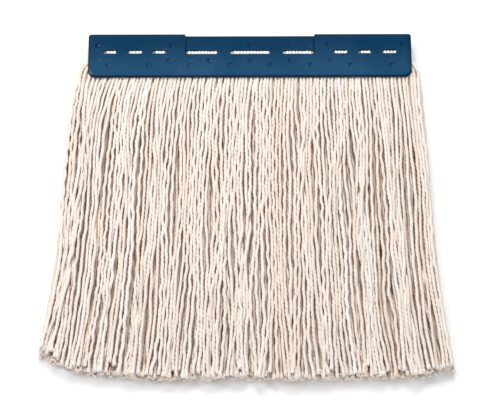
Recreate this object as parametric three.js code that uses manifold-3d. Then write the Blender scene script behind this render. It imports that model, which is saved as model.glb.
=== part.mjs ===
// A string mop refill: cotton yarn clamped between two moulded plates that are welded together through it.
// The mop lies flat. X runs along the plates, +Y from the yarn tips to the plates' top edge, and +Z is up.
// The origin is the centre of the whole mop's box, on the surface that it lies on. Units are millimetres.

import * as THREE from 'three';
import { mergeVertices } from 'three/addons/utils/BufferGeometryUtils.js';
import Module from 'manifold-3d';

const wasm = await Module();
wasm.setup();

// Driving dimensions.
const plateWidth = 240;
const plateHeight = 36;
const clampThickness = 12;
const wall = 2.2;
const skirtLength = 240;
const gap = 0.3;

// Plate details, measured down from the plates' top edge or out from their middle.
const bottomCornerRadius = 6.2;
const topCornerRadius = 2.2;
const stepCornerRadius = 0.7;
const notchHalfWidth = 48;
const notchDrop = 1.5;
const recessDepth = 0.8;
const recessBelowSlots = 0.6;
const slotDrop = 15.4;
const slotWidth = 2.5;
const endWallDrop = 20.5;
const slots = [
  { x: 0, length: 30 },
  { x: 35.7, length: 23 },
  { x: 67, length: 10.7 },
  { x: 85.2, length: 10.7 },
  { x: 103.5, length: 10.7 },
];
const weldRows = [
  { drop: 10.2, columns: [0, 58, 113] },
  { drop: 23.3, columns: [0, 30, 60] },
  { drop: 26.9, columns: [15, 45, 75, 105] },
];
const weldHoleRadius = 1.1;
const weldPinRadius = 0.8;
const dimpleDepth = 0.5;

// Yarn details.
const shoulderWidth = 7.2;
const shoulderHeight = 14;
const tuftsPerLayer = 12;
const tuftRootRadius = 1.7;
const hingeBelowMouth = 3.4;
const stitchAboveMouth = 4.5;
const threadWidth = 0.9;
const threadHeight = 0.6;
const threadLength = 228;

// Worked out from the dimensions above.
const topY = (plateHeight + skirtLength) / 2;
const mouthY = topY - plateHeight;
const halfWidth = plateWidth / 2;
const middleZ = clampThickness / 2;
const backInsideZ = wall;
const frontInsideZ = clampThickness - wall;
const recessZ = clampThickness - recessDepth;
const pocketTopY = topY - notchDrop - wall;
const endWallY = topY - endWallDrop;
const slotY = topY - slotDrop;

const plastic = new THREE.MeshStandardMaterial({ color: 0x0b4a75, roughness: 0.42, metalness: 0 });
const cotton = new THREE.MeshStandardMaterial({ color: 0xeee4d8, roughness: 0.95, metalness: 0 });
const thread = new THREE.MeshStandardMaterial({ color: 0xf4f1ea, roughness: 0.85, metalness: 0 });

// A closed mesh as a manifold-3d solid, and the solid's surface as a geometry again.
function toSolid(geometry) {
  geometry.deleteAttribute('normal');
  geometry.deleteAttribute('uv');
  const merged = mergeVertices(geometry, 1e-4);
  return new wasm.Manifold(new wasm.Mesh({
    numProp: 3,
    vertProperties: new Float32Array(merged.attributes.position.array),
    triVerts: new Uint32Array(merged.index.array),
  }));
}

function toGeometry(solid) {
  const surface = solid.getMesh();
  const geometry = new THREE.BufferGeometry();
  geometry.setAttribute('position', new THREE.BufferAttribute(surface.vertProperties, 3));
  geometry.setIndex(new THREE.BufferAttribute(surface.triVerts, 1));
  geometry.computeVertexNormals();
  return geometry;
}

// An outline in the XY plane, raised from one height to another.
function raised(shape, fromZ, toZ) {
  const geometry = new THREE.ExtrudeGeometry(shape, {
    depth: toZ - fromZ,
    bevelEnabled: false,
    curveSegments: 6,
  });
  geometry.translate(0, 0, fromZ);
  return toSolid(geometry);
}

function box(fromX, toX, fromY, toY, fromZ, toZ) {
  const geometry = new THREE.BoxGeometry(toX - fromX, toY - fromY, toZ - fromZ);
  geometry.translate((fromX + toX) / 2, (fromY + toY) / 2, (fromZ + toZ) / 2);
  return toSolid(geometry);
}

function pin(x, y, radius, fromZ, toZ) {
  const geometry = new THREE.CylinderGeometry(radius, radius, toZ - fromZ, 10);
  geometry.rotateX(Math.PI / 2);
  geometry.translate(x, y, (fromZ + toZ) / 2);
  return toSolid(geometry);
}

function mirroredColumns(columns) {
  return columns.flatMap((x) => (x === 0 ? [0] : [-x, x]));
}

function weldPoints() {
  return weldRows.flatMap((row) =>
    mirroredColumns(row.columns).map((x) => ({ x, y: topY - row.drop })));
}

// The front of a weld point is lower where the clamp recess crosses it.
function faceZ(point) {
  const inRecess = Math.abs(point.x) < notchHalfWidth && point.y > slotY;
  return inRecess ? recessZ : clampThickness;
}

// Outline of either plate: a long rectangle with a shallow notch in the middle of its top edge.
function plateOutline() {
  const notchY = topY - notchDrop;
  const shape = new THREE.Shape();
  const low = bottomCornerRadius;
  const high = topCornerRadius;
  const step = stepCornerRadius;
  shape.moveTo(-halfWidth + low, mouthY);
  shape.lineTo(halfWidth - low, mouthY);
  shape.absarc(halfWidth - low, mouthY + low, low, -Math.PI / 2, 0, false);
  shape.lineTo(halfWidth, topY - high);
  shape.absarc(halfWidth - high, topY - high, high, 0, Math.PI / 2, false);
  shape.lineTo(notchHalfWidth + step, topY);
  shape.absarc(notchHalfWidth + step, topY - step, step, Math.PI / 2, Math.PI, false);
  shape.lineTo(notchHalfWidth, notchY);
  shape.lineTo(-notchHalfWidth, notchY);
  shape.lineTo(-notchHalfWidth, topY - step);
  shape.absarc(-notchHalfWidth - step, topY - step, step, 0, Math.PI / 2, false);
  shape.lineTo(-halfWidth + high, topY);
  shape.absarc(-halfWidth + high, topY - high, high, Math.PI / 2, Math.PI, false);
  shape.lineTo(-halfWidth, mouthY + low);
  shape.absarc(-halfWidth + low, mouthY + low, low, Math.PI, Math.PI * 1.5, false);
  return shape;
}

// The space for the yarn: closed at the top and at the upper ends, open at the mouth and the lower ends.
function pocket(fromZ, toZ) {
  const beyond = 10;
  const upper = box(-halfWidth + wall, halfWidth - wall, mouthY, pocketTopY, fromZ, toZ);
  const lower = box(-halfWidth - beyond, halfWidth + beyond, mouthY - beyond, endWallY, fromZ, toZ);
  return upper.add(lower);
}

function slotCutter(slot) {
  const radius = slotWidth / 2;
  const reach = slot.length / 2 - radius;
  const shape = new THREE.Shape();
  shape.moveTo(slot.x - reach, slotY - radius);
  shape.lineTo(slot.x + reach, slotY - radius);
  shape.absarc(slot.x + reach, slotY, radius, -Math.PI / 2, Math.PI / 2, false);
  shape.lineTo(slot.x - reach, slotY + radius);
  shape.absarc(slot.x - reach, slotY, radius, Math.PI / 2, Math.PI * 1.5, false);
  return raised(shape, -1, clampThickness + 1);
}

function cutSlots(plate) {
  let result = plate;
  for (const slot of slots) {
    result = result.subtract(slotCutter(slot));
    if (slot.x > 0) {
      result = result.subtract(slotCutter({ ...slot, x: -slot.x }));
    }
  }
  return result;
}

// Front plate: the weld holes show as dimples. The clamp recess runs from the notch to just below the slots.
function frontPlate() {
  let plate = raised(plateOutline(), middleZ + gap / 2, clampThickness);
  plate = plate.subtract(pocket(0, frontInsideZ));
  const recessY = slotY - slotWidth / 2 - recessBelowSlots;
  const recess = box(-notchHalfWidth, notchHalfWidth, recessY, topY + 1, recessZ, clampThickness + 1);
  plate = plate.subtract(recess);
  for (const point of weldPoints()) {
    plate = plate.subtract(pin(point.x, point.y, weldHoleRadius, 0, clampThickness + 1));
  }
  return cutSlots(plate);
}

// Back plate: it carries the weld pins, each with a sink mark behind it.
function backPlate() {
  let plate = raised(plateOutline(), 0, middleZ - gap / 2);
  plate = plate.subtract(pocket(backInsideZ, clampThickness));
  for (const point of weldPoints()) {
    plate = plate.add(pin(point.x, point.y, weldPinRadius, wall / 2, faceZ(point) - dimpleDepth));
    plate = plate.subtract(pin(point.x, point.y, weldHoleRadius, -1, dimpleDepth));
  }
  return cutSlots(plate);
}

// The clamped band of yarn, with round shoulders where it swells out of the open lower ends.
function headerOutline() {
  const upperX = halfWidth - wall - gap;
  const ledgeY = endWallY - gap;
  const shape = new THREE.Shape();
  shape.moveTo(-halfWidth - shoulderWidth, mouthY);
  shape.lineTo(halfWidth + shoulderWidth, mouthY);
  shape.absellipse(halfWidth, mouthY, shoulderWidth, shoulderHeight, 0, Math.PI / 2, false, 0);
  shape.lineTo(halfWidth, ledgeY);
  shape.lineTo(upperX, ledgeY);
  shape.lineTo(upperX, pocketTopY - gap);
  shape.lineTo(-upperX, pocketTopY - gap);
  shape.lineTo(-upperX, ledgeY);
  shape.lineTo(-halfWidth, ledgeY);
  shape.lineTo(-halfWidth, mouthY + shoulderHeight);
  shape.absellipse(-halfWidth, mouthY, shoulderWidth, shoulderHeight, Math.PI / 2, Math.PI, false, 0);
  return shape;
}

const threadY = mouthY + stitchAboveMouth;
const needleZ = frontInsideZ - gap - threadHeight - 0.1;
const bobbinZ = clampThickness - needleZ - threadHeight;

function stitchThread(fromZ) {
  const halfLength = threadLength / 2;
  const fromY = threadY - threadWidth / 2;
  return box(-halfLength, halfLength, fromY, fromY + threadWidth, fromZ, fromZ + threadHeight);
}

function stitchGroove(fromZ, toZ) {
  const halfLength = threadLength / 2 + gap;
  const halfGroove = threadWidth / 2 + gap;
  return box(-halfLength, halfLength, threadY - halfGroove, threadY + halfGroove, fromZ, toZ);
}

function yarnHeader() {
  let band = raised(headerOutline(), backInsideZ + gap, frontInsideZ - gap);
  band = band.subtract(stitchGroove(needleZ - gap, clampThickness));
  band = band.subtract(stitchGroove(0, bobbinZ + threadHeight + gap));
  for (const point of weldPoints()) {
    band = band.subtract(pin(point.x, point.y, weldHoleRadius, 0, clampThickness));
  }
  return band;
}

// Half the skirt's width at a distance below the mouth. It is straight at first, so that tufts swing freely.
function skirtHalfWidth(below) {
  const s = Math.max(below, 5);
  return 126.5 + 0.05 * s + 3 * (1 - Math.exp(-s / 20)) + 8 * (s / skirtLength) ** 4;
}

// How far the yarn reaches below the mouth, at a place across the skirt from -1 to 1.
function skirtReach(across) {
  return skirtLength - 17 * Math.abs(across) ** 6;
}

// How much a layer thickens, from its root to where the yarn lies loose.
function layerSwell(below) {
  return (middleZ - gap / 2 - 2 * tuftRootRadius) * (1 - Math.exp(-Math.max(below, 0) / 5));
}

// A tuft is a row of rectangular sections: a rounded root about its hinge, then a flat fan down to the tips.
function tuftSections(layer, fromAcross, toAcross) {
  const hingeY = mouthY - hingeBelowMouth;
  const hingeZ = middleZ + layer * (gap / 2 + tuftRootRadius);
  const sections = [];
  const corner = (below, inset, across, side, fromZ, toZ) => ({
    x: across * skirtHalfWidth(below) + side * gap,
    y: hingeY - inset,
    low: Math.min(fromZ, toZ),
    high: Math.max(fromZ, toZ),
  });
  const section = (insets, halfHeight, swell) => {
    const inner = hingeZ - layer * halfHeight;
    const outer = hingeZ + layer * (halfHeight + swell);
    const left = corner(insets[0] + hingeBelowMouth, insets[0], fromAcross, 1, inner, outer);
    const right = corner(insets[1] + hingeBelowMouth, insets[1], toAcross, -1, inner, outer);
    sections.push([left, right]);
  };
  for (const degrees of [70, 45, 20]) {
    const angle = THREE.MathUtils.degToRad(degrees);
    const inset = -tuftRootRadius * Math.sin(angle);
    section([inset, inset], tuftRootRadius * Math.cos(angle), 0);
  }
  for (const inset of [0, 3, 8, 18]) {
    section([inset, inset], tuftRootRadius, layerSwell(inset));
  }
  for (const share of [0.2, 0.4, 0.6, 0.8, 1]) {
    const insets = [fromAcross, toAcross].map((across) =>
      18 + share * (skirtReach(across) - hingeBelowMouth - 18));
    section(insets, tuftRootRadius, layerSwell(insets[0]));
  }
  return sections;
}

// A closed mesh through a row of four-cornered sections.
function loft(sections) {
  const positions = [];
  for (const [left, right] of sections) {
    positions.push(left.x, left.y, left.low, right.x, right.y, right.low);
    positions.push(right.x, right.y, right.high, left.x, left.y, left.high);
  }
  const index = [0, 2, 1, 0, 3, 2];
  for (let row = 0; row + 1 < sections.length; row += 1) {
    for (let side = 0; side < 4; side += 1) {
      const here = row * 4 + side;
      const next = row * 4 + (side + 1) % 4;
      index.push(here, next, next + 4, here, next + 4, here + 4);
    }
  }
  const last = (sections.length - 1) * 4;
  index.push(last, last + 1, last + 2, last, last + 2, last + 3);
  const geometry = new THREE.BufferGeometry();
  geometry.setAttribute('position', new THREE.Float32BufferAttribute(positions, 3));
  geometry.setIndex(index);
  geometry.computeVertexNormals();
  return geometry;
}

const mop = new THREE.Group();

function addPiece(name, geometry, material) {
  const mesh = new THREE.Mesh(geometry, material);
  mesh.name = name;
  mop.add(mesh);
}

addPiece('front_plate', toGeometry(frontPlate()), plastic);
addPiece('back_plate', toGeometry(backPlate()), plastic.clone());
addPiece('yarn_header', toGeometry(yarnHeader()), cotton.clone());
addPiece('needle_thread', toGeometry(stitchThread(needleZ)), thread);
addPiece('bobbin_thread', toGeometry(stitchThread(bobbinZ)), thread.clone());

for (const [layerName, layer] of [['upper', 1], ['lower', -1]]) {
  for (let tuft = 0; tuft < tuftsPerLayer; tuft += 1) {
    const fromAcross = 2 * tuft / tuftsPerLayer - 1;
    const toAcross = 2 * (tuft + 1) / tuftsPerLayer - 1;
    const name = `${layerName}_tuft_${String(tuft + 1).padStart(2, '0')}`;
    addPiece(name, loft(tuftSections(layer, fromAcross, toAcross)), cotton.clone());
  }
}

export default mop;
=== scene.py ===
"""A cotton string mop refill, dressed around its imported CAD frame. Lengths are in metres and +Z is up.

The mop lies on its back: X runs along the plates and -Y towards the yarn tips. Each strand is a twisted tube
of its own.
"""
import math

import bmesh
import bpy
import numpy as np
from mathutils import Matrix, Vector


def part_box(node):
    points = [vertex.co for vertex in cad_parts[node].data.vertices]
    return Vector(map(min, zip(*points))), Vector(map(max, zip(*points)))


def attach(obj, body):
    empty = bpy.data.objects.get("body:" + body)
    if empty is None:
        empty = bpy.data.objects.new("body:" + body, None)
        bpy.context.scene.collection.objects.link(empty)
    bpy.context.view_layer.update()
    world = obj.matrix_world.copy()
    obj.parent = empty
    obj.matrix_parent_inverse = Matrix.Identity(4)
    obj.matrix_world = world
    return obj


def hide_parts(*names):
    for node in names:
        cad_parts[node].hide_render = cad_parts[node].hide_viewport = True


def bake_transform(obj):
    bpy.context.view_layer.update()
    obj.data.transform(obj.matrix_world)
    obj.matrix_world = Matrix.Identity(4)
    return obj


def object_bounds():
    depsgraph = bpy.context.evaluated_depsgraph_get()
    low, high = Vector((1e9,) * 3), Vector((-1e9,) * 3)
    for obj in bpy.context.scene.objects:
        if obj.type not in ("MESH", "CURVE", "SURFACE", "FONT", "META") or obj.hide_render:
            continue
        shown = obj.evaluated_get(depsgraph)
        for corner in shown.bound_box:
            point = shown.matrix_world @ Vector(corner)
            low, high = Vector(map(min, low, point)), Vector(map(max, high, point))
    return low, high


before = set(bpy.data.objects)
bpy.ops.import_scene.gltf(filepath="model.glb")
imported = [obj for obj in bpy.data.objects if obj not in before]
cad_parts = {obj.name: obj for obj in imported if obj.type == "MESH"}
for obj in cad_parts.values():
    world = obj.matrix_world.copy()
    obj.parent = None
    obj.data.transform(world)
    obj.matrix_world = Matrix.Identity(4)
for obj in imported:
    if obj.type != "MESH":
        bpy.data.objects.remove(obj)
cad_low, cad_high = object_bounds()

MM = 0.001
rng = np.random.default_rng(24)

# Places that come from the frame.
plate_low, plate_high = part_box("front_plate")
MOUTH_Y = plate_low.y
TOP_Y = plate_high.y
HALF_WIDTH = plate_high.x
FACE_Z = plate_high.z
PARTING_Z = FACE_Z / 2
FOOT_Z = plate_low.z
SKIRT_LENGTH = MOUTH_Y - cad_low.y

# The plates' own measures, as the CAD model has them. Drops are measured down from the top edge.
WALL = 2.2 * MM
BOTTOM_CORNER = 6.2 * MM
TOP_CORNER = 2.2 * MM
STEP_CORNER = 0.7 * MM
NOTCH_HALF = 48 * MM
NOTCH_DROP = 1.5 * MM
RECESS_DEPTH = 0.8 * MM
SLOT_DROP = 15.4 * MM
SLOT_WIDTH = 2.5 * MM
RECESS_DROP = SLOT_DROP + SLOT_WIDTH / 2 + 0.6 * MM
END_WALL_DROP = 20.5 * MM
PIN_RADIUS = 0.8 * MM

# Each slot's distance from the middle and its length, and each weld row's drop and distances, in millimetres.
SLOTS = [(0, 30), (35.7, 23), (67, 10.7), (85.2, 10.7), (103.5, 10.7)]
WELD_ROWS = [(10.2, (0, 58, 113)), (23.3, (0, 30, 60)), (26.9, (15, 45, 75, 105))]

# The plates' finer shape, which only the look has.
BOWL_RADIUS = 1.8 * MM
FRONT_BOWL_DEPTH = 0.55 * MM
BACK_BOWL_DEPTH = 0.3 * MM
SHARP_ANGLE = 38

# The yarn: rows from the front to the back, and a place for each strand along a row.
TUFTS = 12
ROWS = 4
PLACES = TUFTS * 8
STATIONS = 49

# Each layer's name, its rows and its outer row.
LAYERS = (("upper", [0, 1], 0), ("lower", [2, 3], 3))

# Each strand, and where the rows lie.
YARN_DIAMETER = 2.6 * MM
PLIES = 4
PLY_SECTION = np.array([0.74, 1.0, 1.0] * PLIES)
TWIST_PITCH = 15 * MM
RING_STEP = 1.25 * MM
# The row tones paint shade on the inner rows, which show between the outer strands.
ROW_SHADE_TONES = (0, -2, -5, 0)
# The end tone paints the cut ends paler, as painted light on ends that sit in shade.
END_LIGHT_TONE = 3
ROW_IN_CLAMP = np.array([8.45, 6.85, 5.15, 3.55]) * MM
ROW_IN_SKIRT = np.array([9.8, 7.6, 4.6, 1.8]) * MM
STITCH_DIP = 2.2 * MM

# The skirt's outline.
SKIRT_HALF_WIDTH = 125.9 * MM
SKIRT_TAPER = 0.043
MOUTH_SPREAD = 3 * MM
TIP_FLARE = 10.2 * MM
TIP_MARGIN = 2.6 * MM
TIP_SINK = 0.10
EDGE_MARGIN = 0.3 * MM
LEFT_SLANT = 2.5 * MM
LEFT_CORNER_CUT = 19 * MM
RIGHT_CORNER_CUT = 9 * MM
START_LEAN = 4.5 * MM
SIDEWAYS_LIE = 4.4 * MM
SHOULDER_WIDTH = 10.8 * MM
SHOULDER_HEIGHT = 15.5 * MM

# How irregular the strands are. The first two are shares of the distance between places, and the last three
# are shares of a strand's radius.
ROW_STAGGER = 0.22
PLACE_SCATTER = 0.11
SHORTFALL = 1.8 * MM
MOST_SHORTFALL = 9 * MM
SHARED_DRIFT = 0.17
OWN_DRIFT = 0.5 * MM
OWN_RISE = 0.45 * MM
STRAY = 0.55 * MM
THICKNESS_SCATTER = 0.06
SLUB_SIZE = 0.11
END_FULLNESS = 0.08


# ---------------------------------------------------------------- camera

def make_camera(elevation, distance, aim, roll, lens):
    """A long lens that looks along +Y, down on the mop."""
    data = bpy.data.cameras.new("camera")
    camera = bpy.data.objects.new("camera", data)
    bpy.context.scene.collection.objects.link(camera)
    tilt = math.radians(elevation)
    back = Vector((0, -math.cos(tilt), math.sin(tilt)))
    camera.location = Vector(aim) + back * distance
    turn = (-back).to_track_quat("-Z", "Y").to_matrix() @ Matrix.Rotation(math.radians(roll), 3, "Z")
    camera.rotation_euler = turn.to_euler()
    data.lens = lens
    data.sensor_width = 36
    data.clip_start = 0.05
    data.clip_end = 50
    bpy.context.scene.camera = camera


make_camera(elevation=65, distance=2.07, aim=(-0.0001, -0.0031, 0.006), roll=-0.114, lens=205.5)


# ---------------------------------------------------------------- where the yarn lies

def ramp(value, low, high):
    """0 below low, 1 above high, and even in between."""
    return np.clip((value - low) / (high - low), 0, 1)


def skirt_half_width(below):
    """Half the skirt's width at a distance below the mouth.

    It spreads soon below the mouth, then widens evenly, and flares at the tips.
    """
    first, spread_length = 5 * MM, 20 * MM
    s = np.maximum(below, first)
    spread = MOUTH_SPREAD * (1 - np.exp(-s / spread_length))
    return SKIRT_HALF_WIDTH + SKIRT_TAPER * s + spread + TIP_FLARE * (s / SKIRT_LENGTH) ** 4


def skirt_reach(across):
    """How far the yarn reaches below the mouth. The left corner is cut shorter than the right."""
    uneven = 0.7 * MM * np.sin(11 * across + 2)
    slant = LEFT_SLANT * np.maximum(-across, 0) ** 2
    corner = np.where(across < 0, LEFT_CORNER_CUT, RIGHT_CORNER_CUT) * across ** 6
    return SKIRT_LENGTH - TIP_MARGIN - uneven - slant - corner


def random_waves(shape, low, high):
    """Random wave numbers and phases, for smooth irregular motion."""
    return 2 * math.pi / rng.uniform(low, high, shape), rng.uniform(0, 2 * math.pi, shape)


def shared_drift(x, s):
    """Sideways drift that neighbouring strands share, so that they gather in locks with gaps between."""
    count = 16
    across_waves, phases = random_waves(count, 8 * MM, 30 * MM)
    along_waves, _ = random_waves(count, 75 * MM, 360 * MM)
    signs = rng.choice([-1, 1], count)
    drift = np.zeros_like(x)
    for wave, along, phase, sign in zip(across_waves, along_waves, phases, signs):
        drift += np.sin(wave * x + sign * along * s + phase) / wave
    return drift


def own_wave(s, size):
    """One random wave along each strand, of a size that differs from strand to strand."""
    wave, phase = random_waves(s.shape[:2], 26 * MM, 120 * MM)
    sizes = rng.normal(0, size, s.shape[:2])
    return sizes[..., None] * np.sin(wave[..., None] * s + phase[..., None])


def places_across():
    """Each strand's place [row, place] from -1 to 1 across the skirt. The rows are staggered."""
    outermost = 0.993
    row = np.arange(ROWS)[:, None]
    stagger = np.where(row % 2, ROW_STAGGER, -ROW_STAGGER)
    across = (2 * np.arange(PLACES) + 1 + 2 * stagger - PLACES) / (PLACES - 1)
    across += rng.normal(0, PLACE_SCATTER * 2 / PLACES, across.shape)
    return np.clip(across, -outermost, outermost)


def starting_lean(across, s):
    """How much nearer the middle a strand starts than it ends. It is most just inside the plates' ends."""
    lean_length = 14 * MM
    lean = START_LEAN * across * np.abs(across) * (1 - ramp(np.abs(across), 0.82, 0.98))
    return lean[..., None] * np.exp(-s / lean_length)


def sideways_lie(across, s):
    """How far the whole skirt lies to one side. The strands at the plates' ends turn to it sooner."""
    most_sooner, turn_length = 13 * MM, 18 * MM
    sooner = most_sooner * ramp(np.abs(across), 0.9, 1.0)[..., None]
    turned = 1 - np.exp(-(s + sooner) / turn_length)
    return SIDEWAYS_LIE / 2 * (turned + s / SKIRT_LENGTH)


def lay_yarn():
    """Each strand's place across the skirt, and its points below the mouth.

    The points are [row, place, station, (x, y, z)].
    """
    free_length, loose_length, swell_length = 55 * MM, 18 * MM, 6 * MM
    across = places_across()
    shortfall = np.minimum(rng.exponential(SHORTFALL, across.shape), MOST_SHORTFALL)
    s = (skirt_reach(across) - shortfall)[..., None] * np.linspace(0, 1, STATIONS)
    free = ramp(s, 0, free_length) ** 1.3
    loose = ramp(s, 0, loose_length)
    x = across[..., None] * skirt_half_width(s) - starting_lean(across, s)
    for _, rows, _ in LAYERS:
        x[rows] += SHARED_DRIFT * free[rows] * shared_drift(x[rows], s[rows])
    swell = 1 - np.exp(-s / swell_length)
    settled = 1 - TIP_SINK * (s / SKIRT_LENGTH) ** 2
    z = ROW_IN_CLAMP[:, None, None] * (1 - swell) + ROW_IN_SKIRT[:, None, None] * swell * settled
    for _ in range(3):
        x += loose * own_wave(s, OWN_DRIFT)
        z += loose * own_wave(s, OWN_RISE)
    stray = STRAY * rng.normal(0, 1, across.shape) ** 3
    x += free * (s / SKIRT_LENGTH) * stray[..., None]
    limit = skirt_half_width(s) - EDGE_MARGIN
    x, z = np.moveaxis(settle(np.stack([x, z], -1), limit), -1, 0)
    x -= sideways_lie(across, s)
    return across, np.stack([x, MOUTH_Y - s, z], -1)


def paired(points, rows, places):
    """Views of both strands of every pair that lies so many rows and places apart."""
    first = points[:ROWS - rows, max(0, -places):PLACES - max(0, places)]
    second = points[rows:, max(0, places):PLACES - max(0, -places)]
    return first, second


def settle(goal, limit):
    """Pushes strands that overlap apart, station by station, while each stays smooth and near its goal.

    limit is how far from the middle each point may go.
    """
    rounds, pull, stiffness, smoothing = 60, 0.03, 0.4, 0.3
    touching = YARN_DIAMETER * 0.93
    steps = [(0, 1), (0, 2), (0, 3)] + [(rows, places) for rows in (1, 2) for places in range(-3, 4)]
    points = goal.copy()
    for _ in range(rounds):
        move = pull * (goal - points)
        for rows, places in steps:
            first, second = paired(points, rows, places)
            apart = second - first
            distance = np.sqrt((apart ** 2).sum(-1, keepdims=True)) + 1e-9
            push = apart * (stiffness * np.maximum(touching - distance, 0) / distance)
            first_move, second_move = paired(move, rows, places)
            first_move -= push
            second_move += push
        points += move
        between = (points[:, :, :-2] + points[:, :, 2:]) / 2
        points[:, :, 1:-1] += smoothing * (between - points[:, :, 1:-1])
        points[..., 0] = np.clip(points[..., 0], -limit, limit)
        points[..., 1] = np.maximum(points[..., 1], YARN_DIAMETER / 2)
        points[:, :, :2] = goal[:, :, :2]
    return points


def lead_out(across, points):
    """Points that lead a strand out of the clamp: through the mouth, or round out of an open end."""
    inner = 1 - SHOULDER_WIDTH / skirt_half_width(0.0)
    outward = (abs(across) - inner) / (1 - inner)
    start = points[0]
    if outward <= 0:
        depths = np.array([[8], [5], [2.5]]) * MM
        back = (start - points[1]) / (start[1] - points[1][1])
        back[2] = 0
        return start + back * depths
    low_rise, reach, inside = 3 * MM, 10 * MM, 4 * MM
    rise = low_rise + (SHOULDER_HEIGHT - low_rise) * outward
    sweep = reach * outward
    swing = np.radians(np.linspace(90, 18, 6))
    inwards = np.concatenate([[sweep + inside * outward], sweep * (1 - np.cos(swing))])
    x = start[0] - math.copysign(1, across) * inwards
    y = MOUTH_Y + np.concatenate([[rise + inside * (1 - outward)], rise * np.sin(swing)])
    return np.stack([x, y, np.full(len(x), start[2])], -1)


# ---------------------------------------------------------------- twisted yarn

def unit(vectors):
    return vectors / np.linalg.norm(vectors, axis=-1, keepdims=True)


def lengths_along(path):
    """How far each point is along the path."""
    return np.concatenate([[0], np.cumsum(np.linalg.norm(np.diff(path, axis=0), axis=1))])


def resampled(path, step):
    """The same path with points about a step apart, on a smooth curve through the given ones."""
    lengths = lengths_along(path)
    count = max(int(round(lengths[-1] / step)), 2) + 1
    wanted = np.linspace(0, lengths[-1], count)
    slopes = np.gradient(path, lengths, axis=0)
    at = np.clip(np.searchsorted(lengths, wanted, side="right") - 1, 0, len(path) - 2)
    span = (lengths[at + 1] - lengths[at])[:, None]
    t = (wanted - lengths[at])[:, None] / span
    return ((2 * t**3 - 3 * t**2 + 1) * path[at] + (t**3 - 2 * t**2 + t) * span * slopes[at]
            + (3 * t**2 - 2 * t**3) * path[at + 1] + (t**3 - t**2) * span * slopes[at + 1])


def ring_offsets(path, radii, section, turns):
    """Where a tube's skin is, as [ring, corner] offsets from its path, which never runs straight up.

    section is each corner's share of the radius, and turns how far each ring is twisted.
    """
    tangent = unit(np.gradient(path, axis=0))
    side = unit(np.cross(tangent, [0.0, 0.0, 1.0]))
    up = np.cross(side, tangent)
    angles = 2 * math.pi * np.arange(len(section)) / len(section) + turns[:, None]
    reach = radii[:, None] * section
    across = (np.cos(angles) * reach)[..., None] * side[:, None]
    return across + (np.sin(angles) * reach)[..., None] * up[:, None]


def tube_faces(rings, sides):
    """A closed tube's quads and end triangles. Its last two vertices are the middles of its ends."""
    ring, corner = np.meshgrid(np.arange(rings - 1), np.arange(sides), indexing="ij")
    here = ring * sides + corner
    following = ring * sides + (corner + 1) % sides
    quads = np.stack([here, here + sides, following + sides, following], -1).reshape(-1, 4)
    rim = np.arange(sides)
    next_rim = (rim + 1) % sides
    last_rim = (rings - 1) * sides
    first_cap = np.stack([np.full(sides, rings * sides), rim, next_rim], -1)
    last_cap = np.stack([np.full(sides, rings * sides + 1), last_rim + next_rim, last_rim + rim], -1)
    return quads, np.concatenate([first_cap, last_cap])


def skin_places(path, sides):
    """Each vertex's place on the yarn's skin: a circle round the strand, and diameters along it."""
    along = lengths_along(path) / YARN_DIAMETER
    angles = 2 * math.pi * np.arange(sides) / sides
    skin = np.zeros((len(path), sides, 3))
    skin[..., 0] = np.cos(angles)
    skin[..., 1] = np.sin(angles)
    skin[..., 2] = along[:, None]
    return np.concatenate([skin.reshape(-1, 3), [[0, 0, 0], [0, 0, along[-1]]]])


def tube(path, radii, section, turns):
    """A closed tube round a path: its vertices, quads, end triangles and places on the skin."""
    skin_points = path[:, None] + ring_offsets(path, radii, section, turns)
    tangent = unit(np.gradient(path, axis=0))
    bulge = 0.3
    first_end = path[0] - tangent[0] * radii[0] * bulge
    last_end = path[-1] + tangent[-1] * radii[-1] * bulge
    vertices = np.concatenate([skin_points.reshape(-1, 3), [first_end, last_end]])
    quads, triangles = tube_faces(len(path), len(section))
    return vertices, quads, triangles, skin_places(path, len(section))


class Yarn:
    """Tubes gathered into one mesh, with what the cotton material reads at each point."""

    def __init__(self):
        self.tubes = []
        self.count = 0

    def add(self, vertices, quads, triangles, skin, tone, exposure):
        """tone is the strand's own tone, with painted shade for its row or painted light at a cut end, and
        exposure how open each vertex is, from 0 to 1, which sets the painted crevice shade.

        Strands of different tones take their fibre streaks from different stretches of yarn.
        """
        shift = 40 * tone
        skin = skin + [0, 0, shift]
        tones = np.full(len(vertices), tone)
        openness = np.broadcast_to(exposure, len(vertices))
        faces = (quads + self.count, triangles + self.count)
        self.tubes.append((vertices, *faces, skin, tones, openness))
        self.count += len(vertices)

    def build(self, name, material):
        """The tubes as one piece."""
        parts = [np.concatenate(part) for part in zip(*self.tubes)]
        vertices, quads, triangles, skin, tones, openness = parts
        mesh = bpy.data.meshes.new(name)
        corners = np.concatenate([quads.ravel(), triangles.ravel()]).astype(np.int32)
        counts = np.concatenate([np.full(len(quads), 4), np.full(len(triangles), 3)]).astype(np.int32)
        starts = np.concatenate([[0], np.cumsum(counts)[:-1]]).astype(np.int32)
        mesh.vertices.add(len(vertices))
        mesh.vertices.foreach_set("co", vertices.astype(np.float32).ravel())
        mesh.loops.add(len(corners))
        mesh.loops.foreach_set("vertex_index", corners)
        mesh.polygons.add(len(counts))
        mesh.polygons.foreach_set("loop_start", starts)
        mesh.polygons.foreach_set("loop_total", counts)
        for attribute_name, values in (("tone", tones), ("exposure", openness)):
            data = mesh.attributes.new(attribute_name, "FLOAT", "POINT").data
            data.foreach_set("value", values.astype(np.float32))
        places = mesh.attributes.new("skin", "FLOAT_VECTOR", "POINT").data
        places.foreach_set("vector", skin.astype(np.float32).ravel())
        mesh.update(calc_edges=True)
        mesh.shade_smooth()
        mesh.materials.append(material)
        piece = bpy.data.objects.new(name, mesh)
        bpy.context.scene.collection.objects.link(piece)
        return piece


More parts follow.
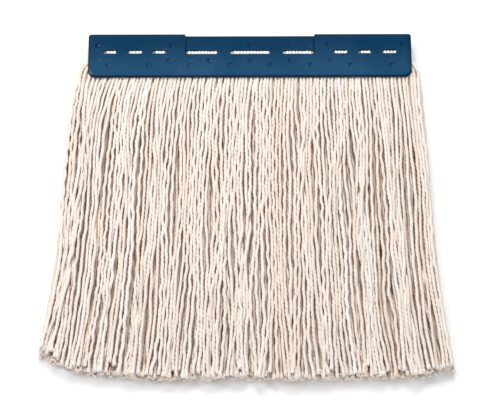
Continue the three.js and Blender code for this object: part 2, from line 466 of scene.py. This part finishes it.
def openness_of(offsets, neighbours):
    """How open a strand's skin is to the air, which sets the painted crevice shade: near 0 against other
    strands, 1 where nothing is near.

    offsets are [ring, corner, (x, z)] and neighbours [neighbour, ring, (x, z)], both from the centreline.
    """
    wrap, strength = 0.35, 1.15
    toward = neighbours[:, :, None] - offsets
    distance = np.sqrt((toward ** 2).sum(-1))
    facing = (toward * unit(offsets)).sum(-1) / distance
    cover = np.arcsin(np.clip(YARN_DIAMETER / 2 / distance, 0, 1)) * np.maximum(facing + wrap, 0)
    return np.exp(-strength * cover.sum(0))


def strand_radii(length):
    """A strand's radius along its length: a thickness of its own, with slubs, and fuller towards its end."""
    wave, phase = random_waves(3, 6 * MM, 26 * MM)
    slub = sum(np.sin(w * length + p) for w, p in zip(wave, phase)) / 3
    thinnest, thickest, end_length = -0.12, 0.16, 4 * MM
    own = np.clip(rng.normal(0, THICKNESS_SCATTER), thinnest, thickest)
    radii = YARN_DIAMETER / 2 * (1 + own + SLUB_SIZE * slub)
    left = length[-1] - length
    fullness = length / length[-1] + np.exp(-left / end_length)
    return radii * (1.02 + END_FULLNESS * fullness)


def add_crimp(path, length):
    """Adds the small bends that twisted yarn keeps, sideways and up and down. They grow from the clamp."""
    growing_length = 25 * MM
    waves, phases = random_waves((2, 2), 9 * MM, 30 * MM)
    size = ramp(length, 0, growing_length) * rng.uniform(0.1, 0.32, 2)[:, None] * MM
    for axis, wave, phase in zip((0, 2), waves, phases):
        path[:, axis] += (size * np.sin(wave[:, None] * length + phase[:, None])).sum(0)


def add_strand(yarn, path, neighbours, tone):
    """Adds one twisted strand with a frayed end, and gives its centreline.

    neighbours are the (x, z) lines of the strands near it, with a point for each of its own.
    """
    contrast_length, fray = 70 * MM, 1.5 * MM
    stations = np.linspace(0, 1, len(path))
    path = resampled(path, RING_STEP)
    length = lengths_along(path)
    radii = strand_radii(length)
    add_crimp(path, length)
    path[:, 2] = np.maximum(path[:, 2], radii)
    turns = rng.uniform(0, 2 * math.pi) + 2 * math.pi * length / TWIST_PITCH
    at = np.linspace(0, 1, len(path))
    beside = np.stack([[np.interp(at, stations, line) for line in other.T] for other in neighbours])
    beside = np.swapaxes(beside, 1, 2) - path[:, [0, 2]]
    offsets = ring_offsets(path, radii, PLY_SECTION, turns)
    # The openness paints shade into the crevices between strands, more weakly near the mouth.
    contrast = 0.75 + 0.25 * ramp(length, 0, contrast_length)
    openness = openness_of(offsets[..., [0, 2]], beside) ** contrast[:, None]
    in_clamp, at_tip = 0.3, 0.9
    exposure = np.concatenate([openness.ravel(), [in_clamp, at_tip]])
    yarn.add(*tube(path, radii, PLY_SECTION, turns), tone, exposure)
    heading = unit(path[-1] - path[-3])
    # The cut end is painted paler, as painted light.
    add_frayed_end(yarn, path[-1], heading, radii[-1], tone + END_LIGHT_TONE)
    return np.concatenate([path, [path[-1] + heading * fray]])


def add_frayed_end(yarn, tip, heading, radius, tone):
    """The plies of a cut end, which open out, and loose fibres among them."""
    start = 2 * MM
    side = np.cross(heading, [0, 0, 1.0])
    up = np.cross(side, heading)
    # How many there are, how thick, how far they spread, how long at most, and how many sides each has.
    plies = (PLIES + 1, 0.46, 0.2, 1 * MM, 6)
    fibres = (6, 0.09, 0.5, 2 * MM, 3)
    for count, thickness, spread, longest, sides in (plies, fibres):
        for strand in range(count):
            angle = 2 * math.pi * (strand + rng.uniform(-0.35, 0.35)) / count
            outward = math.cos(angle) * side + math.sin(angle) * up
            reach = rng.uniform(0.45, 1) * longest
            t = np.linspace(0, 1, 4)[:, None]
            path = tip - heading * start + heading * t * (reach + start)
            path += outward * radius * (0.5 + spread * t**2 * rng.uniform(0.3, 1.6))
            path[:, 2] = np.maximum(path[:, 2], radius * thickness)
            radii = radius * thickness * np.array([1, 1.05, 1, 0.5])
            # Each ply and fibre gets a random openness, so some carry painted crevice shade.
            yarn.add(*tube(path, radii, np.ones(sides), np.zeros(4)), tone, rng.uniform(0.35, 1))


def neighbours_of(paths, rows, row, place):
    """The (x, z) lines of the strands near one strand in its own layer. The other layer moves away from it.

    Each line has a point for each of the strand's own, and starts with points that stay at the mouth.
    """
    places = range(max(place - 2, 0), min(place + 3, PLACES))
    lines = [paths[r][p][-STATIONS:, [0, 2]] for r in rows for p in places if (r, p) != (row, place)]
    lead = len(paths[row][place]) - STATIONS
    return [np.concatenate([np.repeat(line[:1], lead, 0), line]) for line in lines]


def make_tuft(node, rows, places, outer_row, paths, cotton):
    """One tuft as a piece, and its middle outer strand as a piece of its own."""
    tuft = Yarn()
    single = Yarn()
    chosen = (outer_row, places[len(places) // 2])
    for row in rows:
        for place in places:
            beside = neighbours_of(paths, rows, row, place)
            tone = rng.normal() + ROW_SHADE_TONES[row]
            if (row, place) == chosen:
                centre = add_strand(single, paths[row][place], beside, tone)
            else:
                add_strand(tuft, paths[row][place], beside, tone)
    pieces = (tuft.build(f"{node}_yarn", cotton), single.build(f"{node}_strand", cotton))
    for piece in pieces:
        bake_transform(piece)
    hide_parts(node)


def make_tufts(cotton):
    """All the strands below the clamp, with the upper layer's two rows first."""
    across, points = lay_yarn()
    paths = [[np.concatenate([lead_out(across[row, place], points[row, place]), points[row, place]])
              for place in range(PLACES)] for row in range(ROWS)]
    in_tuft = PLACES // TUFTS
    for layer, rows, outer_row in LAYERS:
        for tuft in range(TUFTS):
            places = range(tuft * in_tuft, (tuft + 1) * in_tuft)
            make_tuft(f"{layer}_tuft_{tuft + 1:02d}", rows, places, outer_row, paths, cotton)


def under_a_slot(x):
    """Whether a strand in the clamp lies under one of the slots, clear of its ends."""
    before, after = 1.8 * MM, 0.8 * MM
    return any(before - length / 2 * MM < x - side * centre * MM < length / 2 * MM - after
               for centre, length in SLOTS for side in (-1, 1))


def make_clamped_band(cotton):
    """The yarn held between the plates. Its outer rows swell into the slots."""
    band = Yarn()
    lowest, top_room, end_room = 8.5 * MM, 0.6 * MM, 1.6 * MM
    foot = MOUTH_Y + lowest
    head = TOP_Y - NOTCH_DROP - WALL - top_room
    half_width = HALF_WIDTH - WALL - end_room
    y = np.linspace(foot, head, 14)
    slot_y = TOP_Y - SLOT_DROP
    hump_width, hump_height, recessed_height = 1.7 * MM, 1.9 * MM, 1.3 * MM
    hump = np.exp(-(((y - slot_y) / hump_width) ** 2))
    for row in range(ROWS):
        out = {0: 1, ROWS - 1: -1}.get(row, 0)
        for place in range(PLACES):
            x = ((place + 0.5) / PLACES * 2 - 1) * half_width
            height = recessed_height if abs(x) < NOTCH_HALF else hump_height
            z = np.full(len(y), ROW_IN_CLAMP[row]) + out * under_a_slot(x) * height * hump
            path = np.stack([np.full(len(y), x), y, z], -1)
            turns = rng.uniform(0, 2 * math.pi) + 2 * math.pi * (y - foot) / TWIST_PITCH
            radii = np.full(len(y), YARN_DIAMETER / 2) * (1.1 + rng.normal(0, 0.04))
            band.add(*tube(path, radii, PLY_SECTION, turns), rng.normal(), 1.0)
    piece = band.build("clamped_yarn", cotton)
    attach(piece, "clamp")
    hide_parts("yarn_header")


def make_stitch_thread(node, dip, material):
    """One thread of the lockstitch that runs through the band. dip is how far it goes down at each stitch."""
    low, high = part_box(node)
    pitch, sway, radius, twist = 4 * MM, 0.12 * MM, 0.33 * MM, 3 * MM
    points_per_stitch, steepness = 8, 8
    section = np.array([0.85, 1.0] * 3)
    stitches = int((high.x - low.x) / pitch)
    x = np.linspace(low.x, high.x, stitches * points_per_stitch + 1)
    phase = math.pi * (x - low.x) / pitch
    z = (low.z + high.z) / 2 + dip * np.cos(phase) ** steepness
    y = (low.y + high.y) / 2 + sway * np.sin(2 * phase)
    path = np.stack([x, y, z], -1)
    thread = Yarn()
    thread.add(*tube(path, np.full(len(x), radius), section, 2 * math.pi * x / twist), 0, 1)
    piece = thread.build(f"{node}_stitches", material)
    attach(piece, "clamp")
    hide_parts(node)


# ---------------------------------------------------------------- the plates

def corner_arc(x, y, radius, start):
    """Points round a quarter turn, anticlockwise from the start angle in degrees."""
    angles = np.radians(start + np.linspace(0, 90, 7))
    return np.stack([x + radius * np.cos(angles), y + radius * np.sin(angles)], -1)


def at_height(outline, z):
    return np.column_stack([outline, np.full(len(outline), z)])


def mirrored(values):
    """Each value and its negative, with zero only once."""
    return [side * value for value in values for side in (1, -1) if value or side == 1]


def plate_outline(inset):
    """The outline of either plate, moved inwards all round. The left half mirrors the right."""
    side, bottom, top = HALF_WIDTH - inset, MOUTH_Y + inset, TOP_Y - inset
    notch = NOTCH_HALF + inset
    low, high, step = (max(radius - inset, 0.05 * MM) for radius in (BOTTOM_CORNER, TOP_CORNER, STEP_CORNER))
    right = np.concatenate([
        corner_arc(side - low, bottom + low, low, -90),
        corner_arc(side - high, top - high, high, 0),
        corner_arc(notch + step, top - step, step, 90),
        [[notch, top - NOTCH_DROP]],
    ])
    return np.concatenate([right, right[::-1] * [-1, 1]])


def stadium(x, y, half_length, radius):
    """The outline of a slot with round ends."""
    reach = half_length - radius
    right = [corner_arc(x + reach, y, radius, -90)[:-1], corner_arc(x + reach, y, radius, 0)]
    left = [corner_arc(x - reach, y, radius, 90)[:-1], corner_arc(x - reach, y, radius, 180)]
    return np.concatenate(right + left)


def circle(x, y, radius):
    return np.concatenate([corner_arc(x, y, radius, start)[:-1] for start in (0, 90, 180, 270)])


def solids(name, bodies):
    """One mesh object of closed bodies, each a row of rings with equal numbers of points, with flat ends."""
    form = bmesh.new()
    for rings in bodies:
        rows = [[form.verts.new(point) for point in ring] for ring in rings]
        for lower, upper in zip(rows, rows[1:]):
            for here in range(len(lower)):
                following = (here + 1) % len(lower)
                form.faces.new((lower[here], lower[following], upper[following], upper[here]))
        form.faces.new(rows[0][::-1])
        form.faces.new(rows[-1])
    bmesh.ops.recalc_face_normals(form, faces=form.faces)
    mesh = bpy.data.meshes.new(name)
    form.to_mesh(mesh)
    form.free()
    piece = bpy.data.objects.new(name, mesh)
    bpy.context.scene.collection.objects.link(piece)
    return piece


def carved(piece, tools):
    """The piece after one boolean for each (operation, tool object). The tools are used up."""
    for operation, tool in tools:
        modifier = piece.modifiers.new(tool.name, "BOOLEAN")
        modifier.operation = operation
        modifier.solver = "EXACT"
        modifier.object = tool
    finished = bpy.data.meshes.new_from_object(piece.evaluated_get(bpy.context.evaluated_depsgraph_get()))
    piece.modifiers.clear()
    piece.data = finished
    for _, tool in tools:
        bpy.data.objects.remove(tool)
    return piece


def face_height(x, y, recessed):
    """The height of a plate's face at a point, as the front plate lies: lower inside the clamp recess."""
    inside = recessed and abs(x) < NOTCH_HALF and y > TOP_Y - RECESS_DROP
    return FACE_Z - RECESS_DEPTH if inside else FACE_Z


def plate_blank():
    """The plate without its openings, as the front one lies.

    Its rim is rounded, and the face falls a little towards the rim.
    """
    chamfer = 0.25 * MM
    rim_width, rim_drop = 2.2 * MM, 1.6 * MM
    shoulder, shoulder_drop = 3.7 * MM, 0.03 * MM
    flat = 5 * MM
    rim_foot, rim_height = FACE_Z - rim_drop, 0.88 * rim_drop
    swing = np.radians(np.linspace(0, 80, 6))
    profile = [(chamfer, FOOT_Z), (0, FOOT_Z + chamfer)]
    profile += [(rim_width * (1 - math.cos(a)), rim_foot + rim_height * math.sin(a)) for a in swing]
    profile += [(shoulder, FACE_Z - shoulder_drop), (flat, FACE_Z)]
    return [at_height(plate_outline(inset), z) for inset, z in profile]


def pocket_form():
    """The space for the yarn: closed at the top and the upper ends, open at the mouth and the lower ends."""
    beyond = 10 * MM
    inner, outer = HALF_WIDTH - WALL, HALF_WIDTH + beyond
    top, ledge, bottom = TOP_Y - NOTCH_DROP - WALL, TOP_Y - END_WALL_DROP, MOUTH_Y - beyond
    right = np.array([(outer, bottom), (outer, ledge), (inner, ledge), (inner, top)])
    outline = np.concatenate([right, right[::-1] * [-1, 1]])
    return [at_height(outline, z) for z in (0, FACE_Z - WALL)]


def recess_form():
    """The clamp recess: a shallow step in the middle of the face, with sloped ends and a round top edge."""
    edge, slope, above = 1.2 * MM, 0.8 * MM, 2 * MM
    low, high = TOP_Y - RECESS_DROP, TOP_Y - NOTCH_DROP
    swing = np.radians(np.linspace(90, 0, 6))
    rings = []
    for x, floor in ((-NOTCH_HALF, FACE_Z), (slope - NOTCH_HALF, FACE_Z - RECESS_DEPTH),
                     (NOTCH_HALF - slope, FACE_Z - RECESS_DEPTH), (NOTCH_HALF, FACE_Z)):
        profile = [(low, FACE_Z + above), (low, floor)]
        profile += [(high - edge + edge * math.cos(a), floor - edge + edge * math.sin(a)) for a in swing]
        profile += [(high + edge, floor - edge), (high + edge, FACE_Z + above)]
        rings.append(np.array([(x, y, z) for y, z in profile]))
    return rings


def slot_forms(recessed):
    """The slots, each with edges that round over to the face."""
    forms = []
    y, radius, edge, above = TOP_Y - SLOT_DROP, SLOT_WIDTH / 2, 0.45 * MM, 2 * MM
    swing = np.radians(np.linspace(0, 90, 5))
    for centre, length in SLOTS:
        for x in mirrored([centre * MM]):
            face = face_height(x, y, recessed)
            profile = [(0, PARTING_Z)]
            profile += [(edge * (1 - math.cos(a)), face - edge + edge * math.sin(a)) for a in swing]
            profile += [(edge, face + above)]
            forms.append([at_height(stadium(x, y, length * MM / 2 + out, radius + out), z)
                          for out, z in profile])
    return forms


def weld_points():
    return [(x, TOP_Y - drop * MM) for drop, columns in WELD_ROWS
            for x in mirrored([column * MM for column in columns])]


def bowl_forms(recessed, depth):
    """Shallow round bowls in the face, where the weld pins are."""
    forms = []
    above = 1 * MM
    swing = np.radians(np.linspace(82, 0, 6))
    for x, y in weld_points():
        face = face_height(x, y, recessed)
        rings = [at_height(circle(x, y, BOWL_RADIUS * math.cos(a)), face - depth * math.sin(a))
                 for a in swing]
        forms.append(rings + [at_height(circle(x, y, BOWL_RADIUS), face + above)])
    return forms


def pin_forms():
    """The back plate's weld pins as the front plate lies. They end inside the other plate's wall."""
    depth = 0.6 * WALL
    return [[at_height(circle(x, y, PIN_RADIUS), z) for z in (depth, FACE_Z - depth)]
            for x, y in weld_points()]


def make_plate(node, front, bowl_depth, material):
    """One plate as the front one lies. The back plate has no clamp recess, and has the weld pins."""
    openings = [pocket_form()] + ([recess_form()] if front else [])
    blank = solids(f"{node}_shell", [plate_blank()])
    tools = [("DIFFERENCE", solids("openings", openings)),
             ("DIFFERENCE", solids("slots", slot_forms(front))),
             ("DIFFERENCE", solids("bowls", bowl_forms(front, bowl_depth)))]
    if not front:
        tools.append(("UNION", solids("pins", pin_forms())))
    piece = carved(blank, tools)
    piece.data.materials.clear()
    piece.data.materials.append(material)
    piece.data.shade_smooth()
    piece.data.set_sharp_from_angle(angle=math.radians(SHARP_ANGLE))
    weighted = piece.modifiers.new("even_shading", "WEIGHTED_NORMAL")
    weighted.keep_sharp = True
    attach(piece, "clamp")
    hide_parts(node)
    return piece


def turn_over(piece):
    """Mirrors the piece through the parting plane."""
    piece.data.transform(Matrix.Translation((0, 0, FACE_Z)) @ Matrix.Diagonal((1, 1, -1, 1)))
    piece.data.flip_normals()


# ---------------------------------------------------------------- materials

def new_material(name):
    material = bpy.data.materials.new(name)
    material.use_nodes = True
    nodes, links = material.node_tree.nodes, material.node_tree.links
    return material, nodes, links, nodes["Principled BSDF"]


def add_node(nodes, kind, **inputs):
    made = nodes.new(kind)
    for key, value in inputs.items():
        made.inputs[key.replace("_", " ")].default_value = value
    return made


def noise(nodes, links, vector, **inputs):
    made = add_node(nodes, "ShaderNodeTexNoise", **inputs)
    links.new(vector, made.inputs["Vector"])
    return made.outputs["Fac"]


def attribute(nodes, name, output):
    made = nodes.new("ShaderNodeAttribute")
    made.attribute_name = name
    return made.outputs[output]


def remapped(nodes, links, value, low, high, to_low=0.0, to_high=1.0):
    made = add_node(nodes, "ShaderNodeMapRange", From_Min=low, From_Max=high, To_Min=to_low, To_Max=to_high)
    links.new(value, made.inputs["Value"])
    return made.outputs["Result"]


def scaled_sum(nodes, links, value, factor, term):
    """value times factor, plus term."""
    made = nodes.new("ShaderNodeMath")
    made.operation = "MULTIPLY_ADD"
    links.new(value, made.inputs[0])
    made.inputs[1].default_value = factor
    links.new(term, made.inputs[2])
    return made.outputs[0]


def split_vector(nodes, links, vector):
    made = nodes.new("ShaderNodeSeparateXYZ")
    links.new(vector, made.inputs["Vector"])
    return made.outputs


def mixed_colour(nodes, links, factor, first, second):
    """first where factor is 0 and second where it is 1. Either is a colour or an output."""
    mix = nodes.new("ShaderNodeMix")
    mix.data_type = "RGBA"
    links.new(factor, mix.inputs["Factor"])
    for socket, value in ((mix.inputs[6], first), (mix.inputs[7], second)):
        if isinstance(value, tuple):
            socket.default_value = value
        else:
            links.new(value, socket)
    return mix.outputs[2]


def bumped(nodes, links, height, strength, distance, normal=None):
    made = add_node(nodes, "ShaderNodeBump", Strength=strength, Distance=distance)
    links.new(height, made.inputs["Height"])
    if normal:
        links.new(normal, made.inputs["Normal"])
    return made.outputs["Normal"]


def cotton_material(name, pale, dark, crevice_shade):
    """Undyed twisted cotton: fibre streaks along each ply, flecks and a tone per strand.

    Where the strands close in on each other, the colour goes over to a painted crevice shade.
    """
    tone_weight = 0.07
    fleck = (0.55, 0.40, 0.28, 1)
    material, nodes, links, shader = new_material(name)
    stretch = add_node(nodes, "ShaderNodeMapping", Scale=(5, 5, 0.8))
    links.new(attribute(nodes, "skin", "Vector"), stretch.inputs["Vector"])
    fibres = noise(nodes, links, stretch.outputs["Vector"], Scale=1.0, Detail=3.0, Roughness=0.6)
    shade = scaled_sum(nodes, links, attribute(nodes, "tone", "Fac"), tone_weight, fibres)
    base = mixed_colour(nodes, links, remapped(nodes, links, shade, low=0.2, high=0.8), dark, pale)
    place = nodes.new("ShaderNodeTexCoord").outputs["Object"]
    specks = noise(nodes, links, place, Scale=420.0, Detail=2.0)
    flecks = remapped(nodes, links, specks, low=0.69, high=0.80)
    speckled = mixed_colour(nodes, links, flecks, base, fleck)
    # Painted shade: skin that is closed in takes the dark crevice colour.
    openness = remapped(nodes, links, attribute(nodes, "exposure", "Fac"), low=0.04, high=0.27)
    links.new(mixed_colour(nodes, links, openness, crevice_shade, speckled), shader.inputs["Base Color"])
    shader.inputs["Roughness"].default_value = 0.92
    shader.inputs["Specular IOR Level"].default_value = 0.1
    shader.inputs["Sheen Weight"].default_value = 0.1
    shader.inputs["Sheen Roughness"].default_value = 0.5
    rough = bumped(nodes, links, fibres, strength=0.5, distance=0.2 * MM)
    links.new(rough, shader.inputs["Normal"])
    return material


def plastic_material():
    """Semi-matte blue moulded plastic: cloudy colour and gloss, an uneven face, fine grain and painted edge
    shade.

    The colour is lighter towards the mouth, a painted sheen. The painted edge shade is where the surface
    neither lies flat nor stands upright, on the rounded edges and in the weld bowls.
    """
    deep, light = (0.0002, 0.029, 0.076, 1), (0.011, 0.063, 0.138, 1)
    painted_edge_shade = (0.0004, 0.006, 0.018, 1)
    material, nodes, links, shader = new_material("plate_plastic")
    coordinates = nodes.new("ShaderNodeTexCoord")
    place = coordinates.outputs["Object"]
    clouds = noise(nodes, links, place, Scale=26.0, Detail=4.0, Roughness=0.55)
    # Painted sheen: the colour grows lighter towards the mouth, on top of the cloudy colour.
    across_face = split_vector(nodes, links, place)["Y"]
    painted_sheen = remapped(nodes, links, across_face, low=TOP_Y, high=MOUTH_Y, to_low=-0.75, to_high=0.5)
    clouds_and_painted_sheen = scaled_sum(nodes, links, clouds, 0.9, painted_sheen)
    base = mixed_colour(nodes, links, remapped(nodes, links, clouds_and_painted_sheen, low=0.0, high=1.0), deep, light)
    # Painted shade: rounded edges and the weld bowls' walls go over to a dark colour, while flat faces and
    # upright walls keep the base.
    flat = nodes.new("ShaderNodeMath")
    flat.operation = "ABSOLUTE"
    links.new(split_vector(nodes, links, coordinates.outputs["Normal"])["Z"], flat.inputs[0])
    level = nodes.new("ShaderNodeMath")
    level.operation = "MAXIMUM"
    links.new(remapped(nodes, links, flat.outputs[0], low=0.80, high=0.985), level.inputs[0])
    links.new(remapped(nodes, links, flat.outputs[0], low=0.35, high=0.05), level.inputs[1])
    links.new(mixed_colour(nodes, links, level.outputs[0], painted_edge_shade, base), shader.inputs["Base Color"])
    roughness = remapped(nodes, links, clouds, low=0.3, high=0.7, to_low=0.20, to_high=0.30)
    links.new(roughness, shader.inputs["Roughness"])
    shader.inputs["Specular IOR Level"].default_value = 0.5
    fine = noise(nodes, links, place, Scale=2600.0, Detail=2.0)
    grain = bumped(nodes, links, fine, strength=0.12, distance=0.04 * MM)
    broad = noise(nodes, links, place, Scale=60.0, Detail=1.0)
    uneven = bumped(nodes, links, broad, strength=0.3, distance=0.4 * MM, normal=grain)
    links.new(uneven, shader.inputs["Normal"])
    return material


def thread_material():
    """White sewing thread with fine fibre streaks."""
    material, nodes, links, shader = new_material("stitch_thread")
    fibres = noise(nodes, links, attribute(nodes, "skin", "Vector"), Scale=3.0, Detail=2.0)
    base = mixed_colour(nodes, links, fibres, (0.78, 0.76, 0.72, 1), (0.93, 0.92, 0.89, 1))
    links.new(base, shader.inputs["Base Color"])
    shader.inputs["Roughness"].default_value = 0.7
    rough = bumped(nodes, links, fibres, strength=0.4, distance=0.1 * MM)
    links.new(rough, shader.inputs["Normal"])
    return material


# ---------------------------------------------------------------- studio

def make_floor():
    """A plain pale floor."""
    bpy.ops.mesh.primitive_plane_add(size=12, location=(0, 0, -0.2 * MM))
    floor = bpy.context.object
    floor.name = "floor"
    material, nodes, links, shader = new_material("floor")
    place = nodes.new("ShaderNodeTexCoord").outputs["Object"]
    base = mixed_colour(nodes, links, noise(nodes, links, place, Scale=3.0),
                        (0.94, 0.94, 0.945, 1), (0.96, 0.96, 0.96, 1))
    links.new(base, shader.inputs["Base Color"])
    shader.inputs["Roughness"].default_value = 0.9
    floor.data.materials.append(material)


def make_world():
    """A sky that is white at the horizon and dark overhead, and isn't mirrored in glossy surfaces."""
    world = bpy.data.worlds.new("studio")
    bpy.context.scene.world = world
    world.use_nodes = True
    nodes, links = world.node_tree.nodes, world.node_tree.links
    upwards = split_vector(nodes, links, nodes.new("ShaderNodeTexCoord").outputs["Generated"])["Z"]
    height = remapped(nodes, links, upwards, low=0.05, high=0.50)
    sky = mixed_colour(nodes, links, height, (1.0, 1.0, 1.0, 1), (0.04, 0.04, 0.04, 1))
    links.new(sky, nodes["Background"].inputs["Color"])
    world.cycles_visibility.glossy = False


def make_light(name, location, size, power, glints=False):
    """A rectangular softbox that faces the mop. Only one that makes glints shows in glossy surfaces."""
    data = bpy.data.lights.new(name, "AREA")
    data.shape = "RECTANGLE"
    data.size, data.size_y = size
    data.energy = power
    lamp = bpy.data.objects.new(name, data)
    bpy.context.scene.collection.objects.link(lamp)
    lamp.location = location
    lamp.rotation_euler = (-Vector(location)).to_track_quat("-Z", "Y").to_euler()
    lamp.visible_glossy = glints


def make_studio():
    make_floor()
    make_world()
    make_light("back_strip", location=(0.0, 1.35, 1.4), size=(1.1, 1.1), power=36)
    make_light("overhead", location=(0.1, -0.4, 1.95), size=(0.9, 0.9), power=9)
    make_light("left_box", location=(-1.0, 0.35, 1.4), size=(0.6, 0.7), power=12, glints=True)
    make_light("low_front", location=(0.0, -1.8, 0.4), size=(1.2, 0.4), power=14)
    bpy.context.scene.view_settings.view_transform = "Standard"
    bpy.context.scene.view_settings.look = "None"


# ---------------------------------------------------------------- the mop

make_studio()
cotton = cotton_material("cotton_yarn", pale=(0.825, 0.79, 0.77, 1), dark=(0.74, 0.61, 0.495, 1),
                         crevice_shade=(0.21, 0.072, 0.018, 1))
# The clamped yarn's cotton is a paler copy, as painted light on the yarn in the slots.
painted_light_cotton = cotton_material("painted_light_cotton", pale=(0.97, 0.96, 0.95, 1), dark=(0.93, 0.91, 0.88, 1),
                               crevice_shade=(0.5, 0.45, 0.4, 1))
plastic = plastic_material()
thread = thread_material()
make_tufts(cotton)
make_clamped_band(painted_light_cotton)
make_stitch_thread("needle_thread", -STITCH_DIP, thread)
make_stitch_thread("bobbin_thread", STITCH_DIP, thread)
make_plate("front_plate", True, FRONT_BOWL_DEPTH, plastic)
turn_over(make_plate("back_plate", False, BACK_BOWL_DEPTH, plastic))
